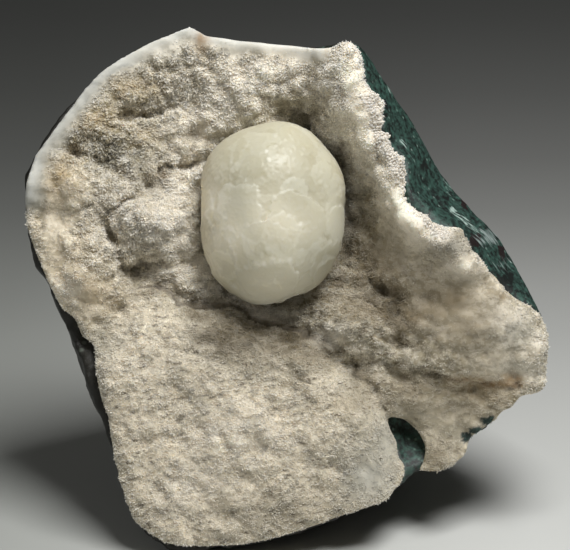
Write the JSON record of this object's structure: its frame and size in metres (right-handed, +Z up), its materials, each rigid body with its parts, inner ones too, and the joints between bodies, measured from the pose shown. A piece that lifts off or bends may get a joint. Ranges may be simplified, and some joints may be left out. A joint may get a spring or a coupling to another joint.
{
  "type": "stellerite mineral specimen",
  "caption": "Broken basalt hollow lined with a drusy cream crust that holds a pale stellerite ball; stands upright on its flat broken foot.",
  "frame": {"origin": "on the ground under the middle of the specimen's bounding box", "axes": "+Z up, +X to the right as one looks into the hollow, +Y away from whoever looks in; the open face looks towards -Y and leans back by 20 degrees"},
  "size_m": [0.1264, 0.0748, 0.1177],
  "materials": {
    "basalt": "dark broken basalt with a dull green skin",
    "druse": "fine sugary crystals, cream white with grey and tan stains",
    "stellerite": "translucent, pearly, pale greenish cream"
  },
  "bodies": {
    "root": {"basalt_matrix": "basalt", "druse_crust": "druse", "stellerite_ball": "stellerite"}
  },
  "joints": []
}
